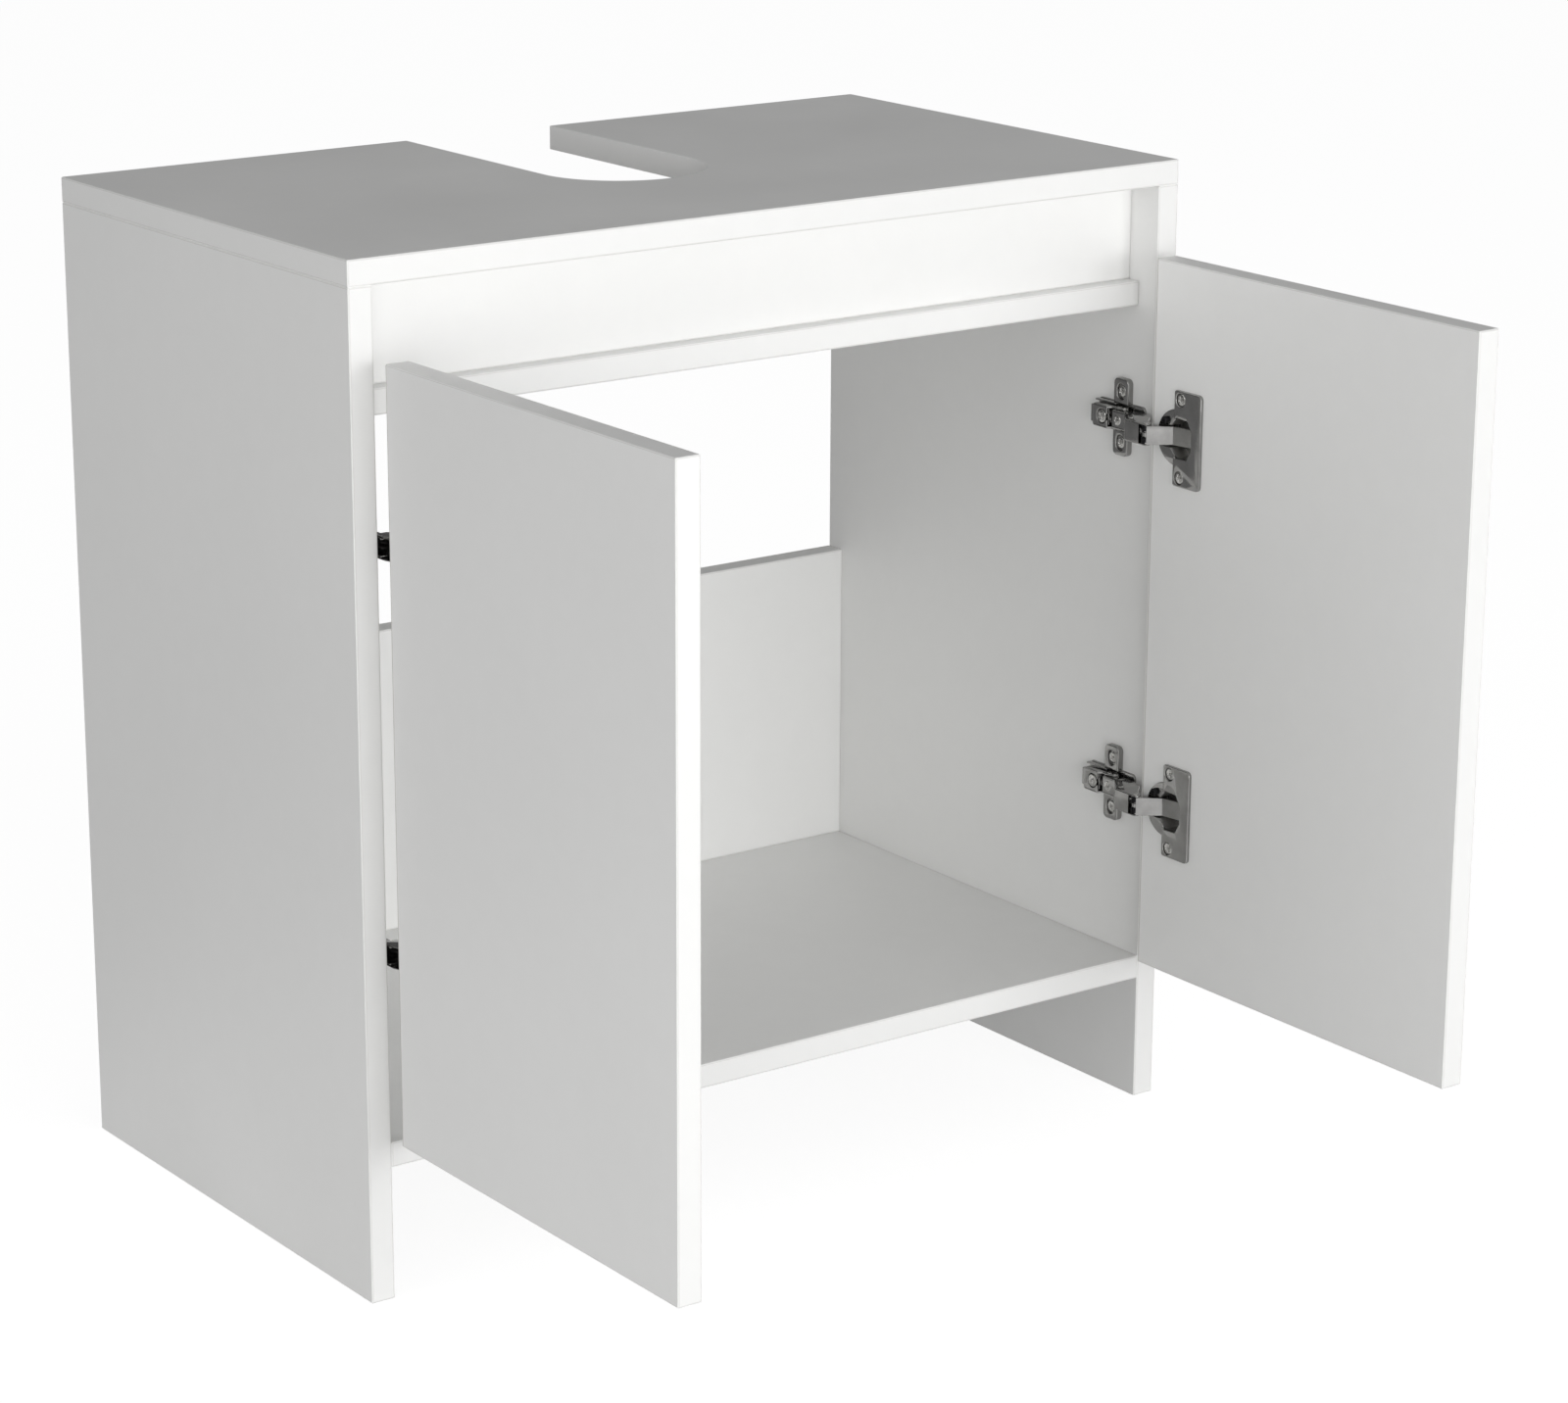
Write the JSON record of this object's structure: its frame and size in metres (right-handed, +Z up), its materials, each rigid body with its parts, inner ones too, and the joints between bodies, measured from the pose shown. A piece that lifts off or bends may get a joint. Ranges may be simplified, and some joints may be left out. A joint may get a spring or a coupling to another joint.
{
  "type": "sink base cabinet",
  "caption": "White sink base cabinet with two inset doors on concealed hinges, one inner shelf, a low back panel and a deep notch in the top for the siphon.",
  "frame": {"origin": "on the floor under the middle of the whole outline, with the doors at rest standing open at a right angle", "axes": "+X to the right seen from the front, +Y from the doors towards the wall, +Z up"},
  "size_m": [0.58, 0.617, 0.6],
  "materials": {
    "carcass_board": "white melamine-coated board, fine grain, satin",
    "door_board": "white melamine-coated board, smooth, satin",
    "dowel_wood": "plain fluted beech",
    "hinge_steel": "nickel-plated pressed steel",
    "hinge_pins": "plated steel pins with riveted ends",
    "hinge_screws": "nickel-plated cross-recess screws",
    "spring_wire": "dark oiled spring steel"
  },
  "bodies": {
    "cabinet": {"side_panel_left": "carcass_board", "side_panel_right": "carcass_board", "top_panel": "carcass_board", "bottom_shelf": "carcass_board", "back_panel": "carcass_board", "fascia_panel": "carcass_board", "front_rail": "carcass_board", "dowels": "dowel_wood", "plate_screws": "hinge_screws", "arm_pins": "hinge_pins", "depth_screws": "hinge_screws", "mounting_plate_lower_left": "hinge_steel", "hinge_arm_lower_left": "hinge_steel", "mounting_plate_upper_left": "hinge_steel", "hinge_arm_upper_left": "hinge_steel", "mounting_plate_lower_right": "hinge_steel", "hinge_arm_lower_right": "hinge_steel", "mounting_plate_upper_right": "hinge_steel", "hinge_arm_upper_right": "hinge_steel"},
    "nose_left": {"hinge_nose_lower_left": "hinge_steel", "hinge_nose_upper_left": "hinge_steel", "nose_pins_left": "hinge_pins", "nose_screws_left": "hinge_screws", "torsion_springs_left": "spring_wire"},
    "outer_link_left": {"outer_link_lower_left": "hinge_steel", "outer_link_upper_left": "hinge_steel"},
    "inner_link_left": {"inner_link_lower_left": "hinge_steel", "inner_link_upper_left": "hinge_steel", "lever_pins_left": "hinge_pins"},
    "control_lever_left": {"control_lever_lower_left": "hinge_steel", "control_lever_upper_left": "hinge_steel"},
    "door_left": {"door_left": "door_board", "cup_screws_left": "hinge_screws", "cup_pins_left": "hinge_pins", "hinge_cup_lower_left": "hinge_steel", "hinge_cup_upper_left": "hinge_steel"},
    "nose_right": {"hinge_nose_lower_right": "hinge_steel", "hinge_nose_upper_right": "hinge_steel", "nose_pins_right": "hinge_pins", "nose_screws_right": "hinge_screws", "torsion_springs_right": "spring_wire"},
    "outer_link_right": {"outer_link_lower_right": "hinge_steel", "outer_link_upper_right": "hinge_steel"},
    "inner_link_right": {"inner_link_lower_right": "hinge_steel", "inner_link_upper_right": "hinge_steel", "lever_pins_right": "hinge_pins"},
    "control_lever_right": {"control_lever_lower_right": "hinge_steel", "control_lever_upper_right": "hinge_steel"},
    "door_right": {"door_right": "door_board", "cup_screws_right": "hinge_screws", "cup_pins_right": "hinge_pins", "hinge_cup_lower_right": "hinge_steel", "hinge_cup_upper_right": "hinge_steel"}
  },
  "joints": [
    {"name": "door_turn_left", "type": "hinge", "parent": "cabinet", "child": "door_left", "pos_m": [-0.2825, -0.027, 0], "axis": [0, 0, -1], "range_deg": [-90, 0]},
    {"name": "nose_swing_left", "type": "hinge", "parent": "cabinet", "child": "nose_left", "pos_m": [-0.269, 0.0025, 0], "axis": [0, 0, -1], "range_deg": [-90, 0]},
    {"name": "outer_link_turn_left", "type": "hinge", "parent": "nose_left", "child": "outer_link_left", "pos_m": [-0.2532, -0.0405, 0], "axis": [0, 0, -1], "range_deg": [0, 90]},
    {"name": "inner_link_turn_left", "type": "hinge", "parent": "nose_left", "child": "inner_link_left", "pos_m": [-0.256, -0.0235, 0], "axis": [0, 0, -1], "range_deg": [0, 90]},
    {"name": "control_lever_turn_left", "type": "hinge", "parent": "cabinet", "child": "control_lever_left", "pos_m": [-0.2702, -0.0018, 0], "axis": [0, 0, -1], "range_deg": [-90, 0]},
    {"name": "door_turn_right", "type": "hinge", "parent": "cabinet", "child": "door_right", "pos_m": [0.2825, -0.027, 0], "axis": [0, 0, 1], "range_deg": [-90, 0]},
    {"name": "nose_swing_right", "type": "hinge", "parent": "cabinet", "child": "nose_right", "pos_m": [0.269, 0.0025, 0], "axis": [0, 0, 1], "range_deg": [-90, 0]},
    {"name": "outer_link_turn_right", "type": "hinge", "parent": "nose_right", "child": "outer_link_right", "pos_m": [0.2532, -0.0405, 0], "axis": [0, 0, 1], "range_deg": [0, 90]},
    {"name": "inner_link_turn_right", "type": "hinge", "parent": "nose_right", "child": "inner_link_right", "pos_m": [0.256, -0.0235, 0], "axis": [0, 0, 1], "range_deg": [0, 90]},
    {"name": "control_lever_turn_right", "type": "hinge", "parent": "cabinet", "child": "control_lever_right", "pos_m": [0.2702, -0.0018, 0], "axis": [0, 0, 1], "range_deg": [-90, 0]}
  ],
  "couplings": [
    {"joint": "nose_swing_left", "follows": "door_turn_left", "ratio": 1},
    {"joint": "outer_link_turn_left", "follows": "door_turn_left", "ratio": -1},
    {"joint": "inner_link_turn_left", "follows": "door_turn_left", "ratio": -1},
    {"joint": "control_lever_turn_left", "follows": "door_turn_left", "ratio": 1},
    {"joint": "nose_swing_right", "follows": "door_turn_right", "ratio": 1},
    {"joint": "outer_link_turn_right", "follows": "door_turn_right", "ratio": -1},
    {"joint": "inner_link_turn_right", "follows": "door_turn_right", "ratio": -1},
    {"joint": "control_lever_turn_right", "follows": "door_turn_right", "ratio": 1}
  ]
}
